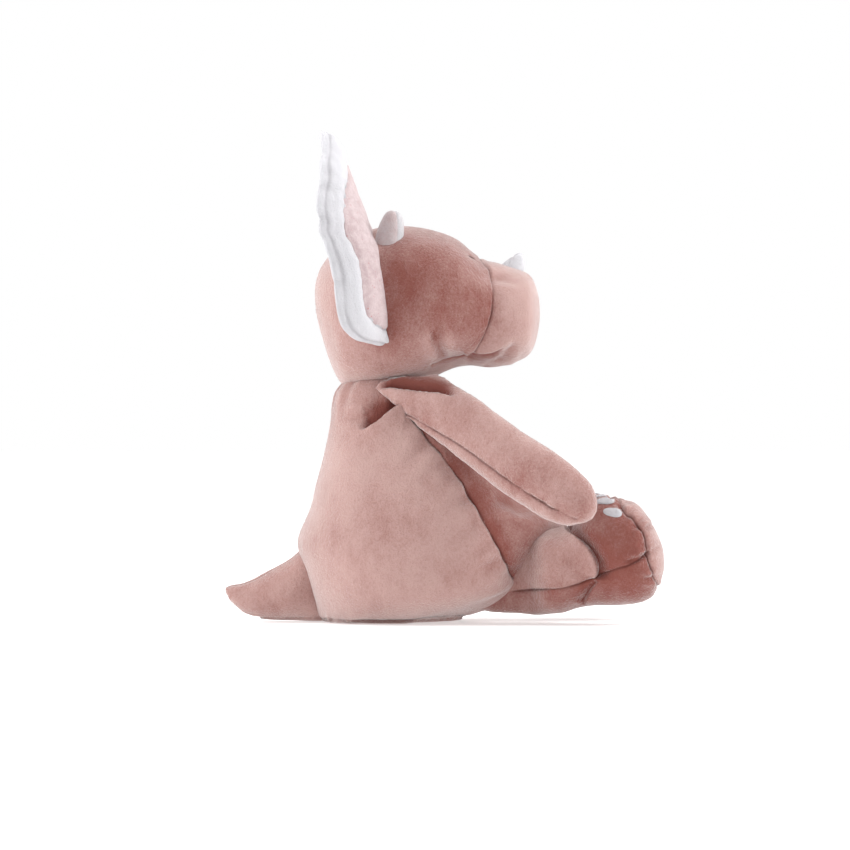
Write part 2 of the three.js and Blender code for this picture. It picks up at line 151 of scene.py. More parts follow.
NOSE_HORN = {"base": [74, 0, 246], "tip": [83.3, 0, 263], "root": 9.5, "form": POINTED}
LEG_SPLAY = math.radians(8)
HIP = [66, 34, 33]
CLAWS = {"inner": [137, 5, 89.5], "middle": [143, 15, 87], "outer": [149, 23, 79.5]}

# ---- Seams and folds in side view, as [x, z] ----
BELLY_SEAM = [[-6, 190], [2, 152], [15, 132.6], [39.9, 101.9], [64.9, 58.5], [82, 22.8], [88, -10]]
SNOUT_SEAM = [
    [50, 275],
    [55, 259],
    [59.9, 251],
    [62.5, 241],
    [62.3, 226],
    [60.6, 215],
    [56.5, 203],
    [52, 195],
    [43.5, 188],
    [31, 184.5],
    [20, 182],
]
NAPE_SEAM = [[-27, 300], [-23.5, 280], [-20, 262], [-19, 235], [-17.5, 196], [-12, 160]]
MOUTH = [[42, 188.5], [47, 191], [54, 191.5], [61, 192.8], [66.5, 195], [71, 198.5]]
LIP_FOLD = [[64, 183.5], [70, 187.5], [74.5, 193.5], [80.5, 198]]
CHIN_FOLD = [[54, 181], [62, 183.5], [71.5, 186]]
CHEEK_FOLD = [[19, 212], [22, 200], [26.5, 190.5], [31, 184]]
LEG_SEAM = [
    [76, 23],
    [94.5, 25],
    [108, 25.7],
    [119, 28.2],
    [130, 32],
    [147.5, 39.5],
    [157, 42.5],
    [168.8, 49.7],
    [177, 57.6],
]
SOLE_SEAM = [
    [142, 96],
    [150, 90],
    [154, 80],
    [161, 74],
    [168, 63.5],
    [170.5, 49],
    [174, 38],
    [180, 24],
    [184, 8],
]
ANKLE_FOLD = [[132, 31], [132.2, 42], [129, 50], [123.5, 56.8], [116, 62.5], [107, 66.5]]
SOLE_FOLDS = [
    [[158, 70], [166, 69], [176, 70.5]],
    [[152, 44], [166, 49], [180, 56]],
    [[164, 34], [171, 32.5], [179, 34]],
]
CLAW_FOLDS = [[[141, 93], [145, 90], [149, 88]], [[148.5, 87], [151.5, 83], [154, 79.5]]]
SHIN_FOLD = [[126, 12], [131, 23], [136.7, 31]]
ARM_SEAM = [
    [-17, 161],
    [-3, 149.5],
    [20, 136.5],
    [41, 124],
    [66, 105],
    [89, 89.7],
    [103, 82],
    [119, 74.5],
]
ARM_FOLD = [[-20, 166], [-3.6, 163.4], [14, 161.2], [25, 160], [37, 159.5]]
ARMPIT_FOLD = [[-32, 135.5], [-23.5, 137], [-16.4, 141], [-10, 147], [-2, 152.5], [8, 157]]
BACK_FOLD = [[-44, 145], [-30, 146], [-18, 154], [-12, 158]]


# ---- Numbers and curves ----
SPACING = 0.5
SPAN_POINTS = 24
FAR = 1e3


def smooth_curve(points):
    """A Catmull-Rom curve through points, as points SPACING apart along it."""
    p = np.array(points, float)
    curve = catmull_rom(np.vstack([2 * p[0] - p[1], p, 2 * p[-1] - p[-2]]), SPAN_POINTS)
    along = lengths_along(curve)
    spots = np.linspace(0, along[-1], max(2, int(along[-1] / SPACING)))
    return np.column_stack([np.interp(spots, along, curve[:, i]) for i in range(curve.shape[1])])


def catmull_rom(p, per_span):
    """The curve through p[1:-1], which p's first and last points only steer."""
    t = (np.arange(per_span) / per_span)[:, None]
    spans = []
    for a, b, c, d in zip(p, p[1:], p[2:], p[3:]):
        cubic = (-a + 3 * b - 3 * c + d) * t + (2 * a - 5 * b + 4 * c - d)
        spans.append(0.5 * ((cubic * t + (c - a)) * t + 2 * b))
    return np.vstack(spans + [p[-2:-1]])


def lengths_along(curve):
    return np.concatenate([[0], np.cumsum(np.linalg.norm(np.diff(curve, axis=0), axis=1))])


def nearest_on(curve, points):
    """Each point's distance to a dense curve, and the index of the nearest curve point."""
    batch = 8000
    distance = np.empty(len(points))
    nearest = np.empty(len(points), int)
    for start in range(0, len(points), batch):
        part = points[start : start + batch]
        gaps = np.linalg.norm(part[:, None, :] - curve[None, :, :], axis=2)
        best = gaps.argmin(1)
        distance[start : start + batch] = gaps[np.arange(len(part)), best]
        nearest[start : start + batch] = best
    return distance, nearest


def spline(value, knots):
    """A smooth function through knots, which are [value, result] pairs in rising order."""
    curve = smooth_curve(knots)
    return np.interp(value, curve[:, 0], curve[:, 1])


def x_over_z(points):
    """Knots that give x at each z, from side view points in order of falling z."""
    return [[z, x] for x, z in points[::-1]]


def off_centre(gap):
    """Picks the points of a form that are more than gap from its middle plane."""
    return lambda co: np.abs(co[:, 1]) > gap


def ripples(points, size, seed):
    """Smooth seeded noise of about -1 to 1, whose bumps are about size across."""
    waves = 14
    rng = np.random.default_rng(seed)
    points = np.atleast_2d(points.T).T
    directions = rng.normal(size=(waves, points.shape[1]))
    directions /= np.linalg.norm(directions, axis=1)[:, None]
    pace = 2 * math.pi / (size * rng.uniform(1.4, 3.2, waves))
    phase = rng.uniform(0, 2 * math.pi, waves)
    return np.sin(points @ (directions * pace[:, None]).T + phase).sum(1) / math.sqrt(waves)


def bell(distance, width):
    return np.exp(-((distance / width) ** 2))


def step(value, low, high):
    """0 below low and 1 above high, with a smooth rise between them."""
    share = np.clip((value - low) / (high - low), 0, 1)
    return share * share * (3 - 2 * share)


# ---- Meshes ----
def add_object(name, verts_mm, faces):
    mesh = bpy.data.meshes.new(name)
    mesh.from_pydata((np.asarray(verts_mm) * MM).tolist(), [], faces)
    obj = bpy.data.objects.new(name, mesh)
    bpy.context.scene.collection.objects.link(obj)
    tidy = bmesh.new()
    tidy.from_mesh(mesh)
    bmesh.ops.recalc_face_normals(tidy, faces=tidy.faces)
    tidy.to_mesh(mesh)
    tidy.free()
    shade_smooth(obj)
    return obj


def shade_smooth(obj):
    obj.data.polygons.foreach_set("use_smooth", [True] * len(obj.data.polygons))


def coordinates(obj):
    co = np.empty(len(obj.data.vertices) * 3)
    obj.data.vertices.foreach_get("co", co)
    return co.reshape(-1, 3) / MM


def set_coordinates(obj, co):
    obj.data.vertices.foreach_set("co", (co * MM).ravel())
    obj.data.update()


def normals(obj):
    out = np.empty(len(obj.data.vertices) * 3)
    obj.data.vertices.foreach_get("normal", out)
    return out.reshape(-1, 3)


def apply_modifiers(obj):
    """Makes the modified mesh the object's own."""
    graph = bpy.context.evaluated_depsgraph_get()
    mesh = bpy.data.meshes.new_from_object(obj.evaluated_get(graph))
    obj.modifiers.clear()
    obj.data = mesh
    shade_smooth(obj)


def ring_faces(rows, around):
    """Faces of a tube of rows x around points, with a pole point before and one after them."""
    last = rows * around + 1
    faces = [(0, 1 + (i + 1) % around, 1 + i) for i in range(around)]
    for row in range(rows - 1):
        a, b = 1 + row * around, 1 + (row + 1) * around
        faces += [(a + i, a + (i + 1) % around, b + (i + 1) % around, b + i) for i in range(around)]
    top = 1 + (rows - 1) * around
    faces += [(top + i, top + (i + 1) % around, last) for i in range(around)]
    return faces


def ring_object(name, rings):
    """A closed form through rings of points, with a pole in the middle of the first and last."""
    verts = np.vstack([rings[0].mean(0), *rings, rings[-1].mean(0)])
    return add_object(name, verts, ring_faces(len(rings), len(rings[0])))


def loft(name, keys, around=64, per_span=8, inset=0.0, squareness=1.0):
    """A closed form through key rings, whose ends are rounded at their poles."""
    k = np.array(keys, float)
    if inset:
        k[1:-1, 4:] -= inset
    mirror = np.array([1, 1, 1, 1, -1, -1])
    rings = catmull_rom(np.vstack([k[1] * mirror, k, k[-2] * mirror]), per_span)
    turn = 2 * math.pi * np.arange(around) / around
    upwards = np.sign(np.cos(turn)) * np.abs(np.cos(turn)) ** squareness
    sideways = np.sign(np.sin(turn)) * np.abs(np.sin(turn)) ** squareness
    verts = [rings[0, :3]]
    for x, y, z, lean, height, width in rings[1:-1]:
        tilt = math.radians(lean)
        up = np.array([-math.sin(tilt), 0, math.cos(tilt)])
        ring = np.array([x, y, z]) + height * upwards[:, None] * up
        ring[:, 1] += width * sideways
        verts.extend(ring)
    verts.append(rings[-1, :3])
    return add_object(name, verts, ring_faces(len(rings) - 2, around))


# ---- Stuffing ----
VOXEL = 4.0
SWELL_CAP = 3.0
PRESSURE = 4.0
LAST_FRAME = 20


def remesh(obj, voxel):
    change = obj.modifiers.new("remesh", "REMESH")
    change.mode = "VOXEL"
    change.voxel_size = voxel * MM
    apply_modifiers(obj)


def smooth(obj, repeats):
    change = obj.modifiers.new("smooth", "SMOOTH")
    change.iterations = repeats
    change.factor = 0.5
    apply_modifiers(obj)


def fill(obj, pinned):
    """Fills a cloth form: it swells between its pinned seams, by at most SWELL_CAP."""
    start = coordinates(obj)
    group = obj.vertex_groups.new(name="seams")
    for index in np.flatnonzero(pinned > 0.05):
        group.add([int(index)], float(pinned[index]), "REPLACE")
    cloth = obj.modifiers.new("cloth", "CLOTH")
    cloth.settings.quality = 4
    cloth.settings.use_pressure = True
    cloth.settings.uniform_pressure_force = PRESSURE
    cloth.settings.vertex_group_mass = "seams"
    cloth.settings.effector_weights.gravity = 0
    cloth.collision_settings.use_collision = False
    scene = bpy.context.scene
    for number in range(1, LAST_FRAME + 1):
        scene.frame_set(number)
    apply_modifiers(obj)
    scene.frame_set(1)
    moved = coordinates(obj) - start
    length = np.linalg.norm(moved, axis=1)[:, None]
    share = np.minimum(1, SWELL_CAP / np.maximum(length, 1e-6))
    set_coordinates(obj, start + moved * share)
    obj.vertex_groups.clear()


def refine(obj, levels):
    change = obj.modifiers.new("subdivide", "SUBSURF")
    change.levels = levels
    change.render_levels = levels
    apply_modifiers(obj)


def stuffed(name, keys, seams, squareness=1.0, voxel=VOXEL, levels=2):
    """A stuffed form: lofted a little small, then swollen by its filling between its seams."""
    obj = loft(name, keys, inset=0.25 * SWELL_CAP, squareness=squareness)
    remesh(obj, voxel)
    smooth(obj, 2)
    co = coordinates(obj)
    pinned = np.zeros(len(co))
    for seam in seams:
        distance, _ = seam(co)
        pinned = np.maximum(pinned, bell(distance, VOXEL))
    fill(obj, pinned)
    smooth(obj, 2)
    refine(obj, levels)
    return obj


# ---- Seams and sculpting ----
def side_seam(points, where=None):
    """A seam that follows a curve in side view, on both sides of the form."""
    curve = smooth_curve(points)

    def measure(co):
        distance, nearest = nearest_on(curve, co[:, [0, 2]])
        return masked(distance, co, where), SPACING * nearest

    return measure


def plane_seam(point, facing, where=None):
    """A seam where a plane meets the form."""
    point, facing = np.array(point, float), np.array(facing, float)
    facing /= np.linalg.norm(facing)

    def measure(co):
        offset = co - point
        distance = np.abs(offset @ facing)
        spread = np.linalg.norm(offset - np.outer(offset @ facing, facing), axis=1)
        turn = np.arctan2(offset[:, 1], offset[:, 2] - 0.3 * offset[:, 0])
        return masked(distance, co, where), turn * spread.mean()

    return measure


def masked(distance, co, where):
    """The distances, made too far to count for points that where doesn't pick."""
    return distance if where is None else np.where(where(co), distance, FAR)


# How much a millimetre of relief raises the painted light, which paints bumps paler and hollows darker as
# painted shade, and the height over which a form settles flat.
RELIEF_PAINTED_LIGHT = 0.09
SETTLE = 3.0


class Sculpt:
    """Collects how far each point moves, its seam mark with the painted shade of its folds, and its
    painted light: painted sheen and painted shade for its colour.
    """

    def __init__(self, obj, seed, painted_light=0.5):
        self.obj = obj
        self.seed = seed
        self.co = coordinates(obj)
        self.normal = normals(obj)
        self.lift = np.zeros(len(self.co))
        self.shift = np.zeros((len(self.co), 2))
        self.groove = np.zeros(len(self.co))
        self.painted_light = np.full(len(self.co), float(painted_light))

    def _next_seed(self):
        self.seed += 1
        return self.seed

    def seam(self, measure, depth=1.5, width=1.3, pinch=1.2, spread=6.0, gather=0.35, pace=6.0, mark=1.0):
        """A sewn seam: a narrow groove in a wide valley, with small gathers across it."""
        distance, arc = measure(self.co)
        uneven = 1 + 0.25 * ripples(arc, 3 * pace, self._next_seed())
        core = bell(distance, width) * uneven
        gathers = ripples(arc, pace, self._next_seed()) * bell(distance - 0.5 * spread, 0.8 * spread)
        self.lift += gather * gathers - depth * core - pinch * bell(distance, spread)
        # The seam mark paints a dark line, for the parted pile along the seam and the painted shade in
        # its groove.
        self.groove = np.maximum(self.groove, mark * np.clip(core, 0, 1))

    def crease(self, points, depth, width, where=None, fade=8.0, dark=0.0):
        """A soft fold along a curve in side view, shallower towards its ends."""
        curve = smooth_curve(points)
        distance, nearest = nearest_on(curve, self.co[:, [0, 2]])
        distance = masked(distance, self.co, where)
        ends = self._fade_out(nearest, len(curve), fade)
        swell = 0.45 * depth * bell(distance - 2.2 * width, width)
        self.lift += ends * (swell - depth * bell(distance, width))
        # Painted shade: the fold's middle is darkened through the seam mark.
        self.groove = np.maximum(self.groove, dark * ends * bell(distance, 0.7 * width))

    def tuck(self, points, depth, reach, over=1.5, where=None, fade=(8, 8), dark=0.4, painted_fold_shade=0.5):
        """A fold in side view: the cloth left of the curve dives under the cloth right of it."""
        curve = smooth_curve(points)
        flat = self.co[:, [0, 2]]
        distance, nearest = nearest_on(curve, flat)
        along = np.gradient(curve, axis=0)
        along /= np.linalg.norm(along, axis=1)[:, None]
        left = np.column_stack([-along[:, 1], along[:, 0]])[nearest]
        beyond = ((flat - curve[nearest]) * left).sum(1)
        distance = masked(distance, self.co, where)
        strength = self._fade_out(nearest, len(curve), *fade)
        under = step(beyond, -0.4, 1.4)
        self.lift -= depth * strength * under * bell(distance, reach)
        self.lift += 0.3 * depth * strength * (1 - under) * bell(distance, 0.7 * reach)
        cover = strength * np.where(beyond < 0, bell(distance, 4), bell(distance, 1.3))
        self.shift += over * cover[:, None] * left
        # Painted shade in the hollow under the fold: a dark line through the seam mark, and darker
        # painted light.
        self.groove = np.maximum(self.groove, dark * strength * under * bell(distance, 2.2))
        self.painted_light -= painted_fold_shade * strength * under * bell(distance, 1.4 * reach)

    @staticmethod
    def _fade_out(nearest, count, start, end=None):
        end = start if end is None else end
        return step(nearest * SPACING, 0, start) * step((count - 1 - nearest) * SPACING, 0, end)

    def dimple(self, centre, depth, radius, stretch=(1, 1, 1)):
        offset = (self.co - np.array(centre, float)) / np.array(stretch, float)
        self.lift -= depth * bell(np.linalg.norm(offset, axis=1), radius)

    def lumps(self, size, height, stretch=(1, 1, 1)):
        """The uneven filling."""
        self.lift += height * ripples(self.co * np.array(stretch, float), size, self._next_seed())

    def finish(self, floor=None):
        """Moves the points, settles the form's underside on the floor height, and keeps the marks."""
        co = self.co + self.normal * self.lift[:, None]
        # Painted light from relief: bumps are painted paler, hollows darker as painted shade.
        self.painted_light += RELIEF_PAINTED_LIGHT * np.clip(self.lift, -5, 2)
        co[:, [0, 2]] += self.shift
        if floor is not None:
            above = np.maximum(co[:, 2] - floor, 0)
            co[:, 2] = floor + np.where(above < SETTLE, above**2 / (2 * SETTLE), above)
        set_coordinates(self.obj, co)
        # Stores the seam mark, which also holds the painted shade of the folds, and the painted light as
        # point attributes.
        for name, values in (("seam", self.groove), ("painted_light", self.painted_light)):
            mark = self.obj.data.attributes.new(name, "FLOAT", "POINT")
            mark.data.foreach_set("value", values.astype(np.float32))


# ---- Materials ----
def colour(hex_code):
    """An sRGB hex colour as linear RGBA."""
    parts = [int(hex_code[i : i + 2], 16) / 255 for i in (0, 2, 4)]
    return [p / 12.92 if p <= 0.04045 else ((p + 0.055) / 1.055) ** 2.4 for p in parts] + [1]


class Shader:
    """A short way to build a node material."""

    def __init__(self, name):
        self.material = bpy.data.materials.new(name)
        self.material.use_nodes = True
        self.tree = self.material.node_tree
        self.shader = self.tree.nodes["Principled BSDF"]
        self.place = self.add("ShaderNodeTexCoord").outputs["Object"]

    def add(self, kind, **settings):
        node = self.tree.nodes.new(kind)
        for key, value in settings.items():
            setattr(node, key, value)
        return node

    def link(self, source, target):
        self.tree.links.new(source, target)

    def noise(self, scale, detail=3.0, stretch=(1, 1, 1), rough=0.55):
        """Noise with scale bumps to the metre, squeezed along each axis by stretch."""
        mapping = self.add("ShaderNodeMapping")
        mapping.inputs["Scale"].default_value = stretch
        self.link(self.place, mapping.inputs["Vector"])
        node = self.add("ShaderNodeTexNoise")
        node.inputs["Scale"].default_value = scale
        node.inputs["Detail"].default_value = detail
        node.inputs["Roughness"].default_value = rough
        self.link(mapping.outputs["Vector"], node.inputs["Vector"])
        return node.outputs["Fac"]

    def ramp(self, source, low, high, start, end):
        node = self.add("ShaderNodeMapRange")
        node.interpolation_type = "SMOOTHSTEP"
        for key, value in (("From Min", low), ("From Max", high), ("To Min", start), ("To Max", end)):
            node.inputs[key].default_value = value
        self.link(source, node.inputs["Value"])
        return node.outputs["Result"]

    def mix(self, share, a, b):
        node = self.add("ShaderNodeMix", data_type="RGBA")
        self.link(share, node.inputs["Factor"])
        for name, value in (("A", a), ("B", b)):
            socket = [s for s in node.inputs if s.name == name and s.type == "RGBA"][0]
            if hasattr(value, "is_linked"):
                self.link(value, socket)
            else:
                socket.default_value = value
        return [s for s in node.outputs if s.type == "RGBA"][0]

    def sum(self, a, b, share):
        """a + share * b"""
        node = self.add("ShaderNodeMath", operation="MULTIPLY_ADD")
        self.link(b, node.inputs[0])
        node.inputs[1].default_value = share
        self.link(a, node.inputs[2])
        return node.outputs[0]

    def attribute(self, name):
        node = self.add("ShaderNodeAttribute", attribute_name=name)
        return node.outputs["Fac"]

    def bump(self, height, distance):
        node = self.add("ShaderNodeBump")
        node.inputs["Strength"].default_value = 1.0
        node.inputs["Distance"].default_value = distance
        self.link(height, node.inputs["Height"])
        self.link(node.outputs["Normal"], self.shader.inputs["Normal"])

    def set(self, **values):
        for key, value in values.items():
            self.shader.inputs[key.replace("_", " ")].default_value = value


def velour(name, low, high, thread, seam_shade=0.6, mottle=1.0, sheen=1.0):
    """Short-pile velour with random mottling. Its colour runs from the deep low tone, painted shade,
    where the painted light attribute is 0, to the pale high tone, painted sheen, where it is 1, and the
    seam mark darkens it towards its third, deepest colour in a thin line."""
    s = Shader(name)
    patches = s.noise(34, detail=3)
    streaks = s.noise(120, detail=4, stretch=(1, 1, 0.5))
    grain = s.noise(650, detail=3, stretch=(1, 1, 0.7))
    nap_dots = s.noise(1500, detail=2)
    # The per-point painted light, painted sheen and painted shade, with random mottling added.
    share = s.attribute("painted_light")
    for layer, amount in ((patches, 0.7), (streaks, 0.5), (grain, 0.6), (nap_dots, 0.8)):
        share = s.sum(share, layer, amount * mottle)
    layers_mean = 1.3 * mottle
    share = s.ramp(share, layers_mean - 0.15, layers_mean + 1.15, 0, 1)
    base = s.mix(share, colour(low), colour(high))
    # The seam mark darkens the colour towards the third colour: the seams' parted pile and the painted
    # shade in seams and folds.
    base = s.mix(s.ramp(s.attribute("seam"), 0.25, 1.0, 0, seam_shade), base, colour(thread))
    s.link(base, s.shader.inputs["Base Color"])
    s.link(s.ramp(nap_dots, 0.3, 0.7, 0.85, 1.0), s.shader.inputs["Roughness"])
    s.set(Sheen_Weight=sheen, Sheen_Roughness=0.33, Sheen_Tint=colour("ffffff"), Specular_IOR_Level=0.1)
    s.bump(s.sum(s.sum(nap_dots, grain, 1.0), streaks, 0.8), 0.0007)
    return s.material


def fleck_inset(name):
    """The frill's pale lining: a crinkled brushed cloth with a few tiny deep pink flecks."""
    s = Shader(name)
    crinkle = s.noise(170, detail=5, stretch=(1, 0.6, 1), rough=0.6)
    nap_dots = s.noise(1500, detail=2)
    flecks = s.noise(420, detail=1)
    base = s.mix(s.ramp(crinkle, 0.35, 0.65, 0, 1), colour("b5a2a3"), colour("c4b4b5"))
    base = s.mix(s.ramp(nap_dots, 0.42, 0.6, 0.3, 0), base, colour("9a8283"))
    base = s.mix(s.ramp(flecks, 0.69, 0.74, 0, 0.6), base, colour("a8585a"))
    base = s.mix(s.ramp(s.attribute("seam"), 0.15, 0.9, 0, 0.5), base, colour("b98f8d"))
    s.link(base, s.shader.inputs["Base Color"])
    s.set(Roughness=0.95, Specular_IOR_Level=0.1)
    s.set(Sheen_Weight=0.3, Sheen_Roughness=0.4, Sheen_Tint=colour("ffffff"))
    s.bump(s.sum(crinkle, nap_dots, 0.4), 0.0008)
    return s.material


def thread(name):
    """Satin-stitched dark thread."""
    s = Shader(name)
    wave = s.add("ShaderNodeTexWave", wave_type="BANDS", bands_direction="DIAGONAL")
    wave.inputs["Scale"].default_value = 420
    wave.inputs["Distortion"].default_value = 1.2
    s.link(s.place, wave.inputs["Vector"])
    lines = wave.outputs["Fac"]
    s.link(s.mix(lines, colour("4a2a26"), colour("7a504a")), s.shader.inputs["Base Color"])
    s.set(Roughness=0.45, Sheen_Weight=0.2, Specular_IOR_Level=0.5)
    s.bump(lines, 0.0004)
    return s.material


# Each velour's low tone is its painted shade and its high tone its painted sheen; the third colour is the
# dark line of seams and the painted shade of folds.
ROSE = velour("rose_velour", "844d45", "bc9b95", "3f1a14")
WHITE = velour("white_velour", "bfbdc1", "d1d0d4", "8f8b90", seam_shade=0.4, mottle=0.7, sheen=0.3)
# The horn velour's pinkish deep tone is a painted pink reflection on the horn's shaded side.
PALE = velour("horn_velour", "b59a98", "cbcacd", "8f7f80", seam_shade=0.4, mottle=0.7)
INSET = fleck_inset("inset_velour")
THREAD = thread("eye_thread")


def dress(obj, material):
    """Gives the object its one material."""
    obj.data.materials.clear()
    obj.data.materials.append(material)


# ---- Torso ----
HIP_CREASES = [
    ([[88, 50], [82, 62], [74, 70]], 1.4, 4),
    ([[60, 92], [72, 84], [82, 72]], 1.6, 4),
    ([[88, 30], [80, 36], [70, 38]], 1.3, 3.5),
]


def make_torso():
    belly = side_seam(BELLY_SEAM, where=lambda co: co[:, 0] > 0)
    back = plane_seam([-60, 0, 90], [0, 1, 0], where=lambda co: co[:, 0] < -20)
    seat = plane_seam([0, 0, 3], [0, 0, 1])
    torso = stuffed("torso", TORSO, [belly, back], squareness=0.87)
    s = Sculpt(torso, seed=100)
    # Painted light: the torso is painted paler below z 105 as a painted highlight, fading out by z 160,
    # so the top under the head stays darker as painted shade.
    s.painted_light += 0.41 - 0.41 * step(s.co[:, 2], 105, 160)
    in_front = s.co[:, 0] > spline(s.co[:, 2], x_over_z(BELLY_SEAM))
    # The belly panel ahead of the seam is painted darker as painted shade, with painted sheen where it
    # turns away from the side.
    belly_painted_light = 0.18 + 0.25 * (1 - np.abs(s.normal[:, 1])) * step(s.co[:, 2], 70, 110)
    s.painted_light = np.where(in_front, belly_painted_light, s.painted_light)
    s.seam(belly, depth=1.4, width=1.0, pinch=1.5, spread=7, gather=0.5, pace=9)
    behind_seam = side_seam(BELLY_SEAM, where=lambda co: (co[:, 0] > 0) & ~in_front)
    s.seam(behind_seam, depth=0, pinch=0, gather=0.9, pace=9, spread=17, mark=0)
    s.seam(back, depth=0.9, width=1.0, pinch=0.6)
    s.seam(seat, depth=0.6, width=1.0, pinch=0.3, spread=4)
    s.lumps(55, 1.2)
    s.lumps(18, 0.3, stretch=(1, 1, 0.6))
    flank = off_centre(10)
    # The armpit fold gets painted shade in its hollow.
    s.tuck(ARMPIT_FOLD, depth=8, reach=10, over=2, where=flank, fade=(12, 10), dark=0.35, painted_fold_shade=0.7)
    s.crease(BACK_FOLD, depth=1.5, width=4, where=flank, fade=12)
    neck_radius = 36
    turn = np.arctan2(s.co[:, 1], s.co[:, 0] + 10) * neck_radius
    s.lift += 0.7 * step(s.co[:, 2], 140, 162) * ripples(turn, 6, seed=131)
    tummy = bell(s.co[:, 1], 20) * bell(s.co[:, 2] - 69, 15) * (s.co[:, 0] > 50)
    s.lift += 17 * tummy
    s.lift += 11 * bell(np.abs(s.co[:, 1]) - 34, 18) * bell(s.co[:, 2] - 66, 14) * (s.co[:, 0] > 50)
    for side in SIDES.values():
        root_folds(s, [92, side * 30, 36], 40, seed=140 + side)
    for points, depth, width in HIP_CREASES:
        s.crease(points, depth=depth, width=width, where=off_centre(15))
    s.finish(floor=0.4)
    dress(torso, ROSE)
    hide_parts("seat_panel", "belly_panel", "torso_side_right", "torso_side_left",
                "seat_pellet_pouch", "torso_filling")
    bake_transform(torso)


def root_folds(s, centre, reach, seed):
    """Small gathers that fan out around a limb's root."""
    offset = s.co - np.array(centre, float)
    spread = np.linalg.norm(offset, axis=1)
    fan = np.arctan2(offset[:, 2], offset[:, 1]) * 0.7 * reach
    s.lift += 0.8 * bell(spread - reach, 14) * ripples(fan, 8, seed=seed)


# ---- Head ----
# Dimples over the eyes and on the snout: [x, distance to the side, z], depth, radius and stretch.
ROUND = (1, 1, 1)
WIDE = (1.4, 1.5, 0.7)
HEAD_DIMPLES = [
    ([68.5, 30, 244], 2.6, 6, WIDE),
    ([76, 29, 240], 1.2, 4, WIDE),
    ([87, 19, 239], 1.0, 3.5, ROUND),
    ([88, 14, 245], 0.9, 2.6, ROUND),
    ([47, 27, 260], 0.8, 4, ROUND),
]


def make_head():
    snout = side_seam(SNOUT_SEAM)
    nape = side_seam(NAPE_SEAM)
    crown = plane_seam([-50, 0, 230], [0, 1, 0], where=lambda co: co[:, 0] < -28)
    head = stuffed("head", HEAD, [snout, nape, crown], squareness=0.93)
    s = Sculpt(head, seed=200, painted_light=0.15)
    # Painted light on the head: the cheeks facing the side stay dark as painted shade, faces turned from
    # the side are painted pale as painted sheen, and the low cheeks, the back behind the frill and the
    # muzzle are painted paler as painted highlights.
    aside = 1 - np.abs(s.normal[:, 1])
    in_front = s.co[:, 0] > spline(s.co[:, 2], x_over_z(SNOUT_SEAM)[3:])
    behind = step(-s.co[:, 0], 5, 40)
    s.painted_light += 0.4 * aside + 0.22 * step(215 - s.co[:, 2], 0, 35)
    s.painted_light += behind * (0.7 + 0.4 * aside - s.painted_light)
    ahead = step(s.co[:, 0], 55, 88)
    s.painted_light += 0.12 * step(s.co[:, 0], 35, 60)
    s.painted_light = np.where(in_front & (s.co[:, 0] > 45), 0.6 + 0.35 * ahead + 0.3 * aside, s.painted_light)
    s.seam(snout, depth=1.3, width=0.9, pinch=1.4, spread=6, mark=0.75)
    s.seam(nape, depth=0.3, width=0.9, pinch=0.3, gather=0.15, mark=0.15)
    s.seam(crown, depth=0.9, width=1.0, pinch=0.6)
    s.lumps(50, 0.9)
    s.lumps(16, 0.4)
    beside = off_centre(6)
    # The mouth, lip and chin folds get painted shade in their hollows.
    s.tuck(MOUTH[::-1], depth=4.2, reach=6, over=1.2, where=beside, fade=(12, 2), dark=0.4)
    s.crease(LIP_FOLD, depth=2.2, width=2.6, where=beside, fade=6, dark=0.15)
    s.crease(CHIN_FOLD, depth=1.6, width=1.8, where=beside, fade=6, dark=0.15)
    s.crease(CHEEK_FOLD, depth=2.4, width=3.2, where=beside, fade=9)
    s.lift -= 2.2 * bell(np.hypot(s.co[:, 0] - 30, s.co[:, 2] - 184), 7)
    s.lift -= 2.0 * bell(np.hypot(s.co[:, 0] - 46, s.co[:, 2] - 182), 9)
    for side in SIDES.values():
        for (x, y, z), depth, radius, stretch in HEAD_DIMPLES:
            s.dimple([x, side * y, z], depth=depth, radius=radius, stretch=stretch)
    s.finish()
    dress(head, ROSE)
    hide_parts("head_back_right", "head_back_left", "head_cheek_right", "head_cheek_left",
                "muzzle_panel", "chin_panel", "head_filling")
    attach(head, "head")
    return head


def make_horn(name, horn, side, material, nodes):
    """A horn of two panels, the one ahead of its seam painted paler and the one behind it darker as
    painted shade.
    """
    base = np.array(horn["base"], float) * [1, side, 1]
    tip = np.array(horn["tip"], float) * [1, side, 1]
    lean = math.degrees(math.atan2(tip[2] - base[2], tip[0] - base[0]))
    root = horn["root"]
    keys = [[*base, lean, 0, 0]]
    for share, size in horn["form"]:
        keys.append([*(base + share * (tip - base)), lean, size * root, size * root])
    keys.append([*tip, lean, 0, 0])
    obj = loft(name, keys, around=72, per_span=12)
    s = Sculpt(obj, seed=int(300 + 10 * side + root))
    split = base + [3, 0, 0]
    ahead = np.array([0.9, -0.43 * side, 0])
    around = plane_seam(split, ahead)
    s.seam(around, depth=0.4, width=0.7, pinch=0.4, spread=2.5, gather=0.15, pace=3, mark=0.5)
    s.lumps(7, 0.22)
    # Painted light: the panel behind the seam is painted darker as painted shade; on a brow horn the
    # pinker deep tone adds a painted pink reflection.
    s.painted_light = 0.4 + 0.5 * step((s.co - split) @ ahead, -0.6, 0.6)
    s.finish()
    dress(obj, material)
    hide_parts(*nodes)
    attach(obj, "head")


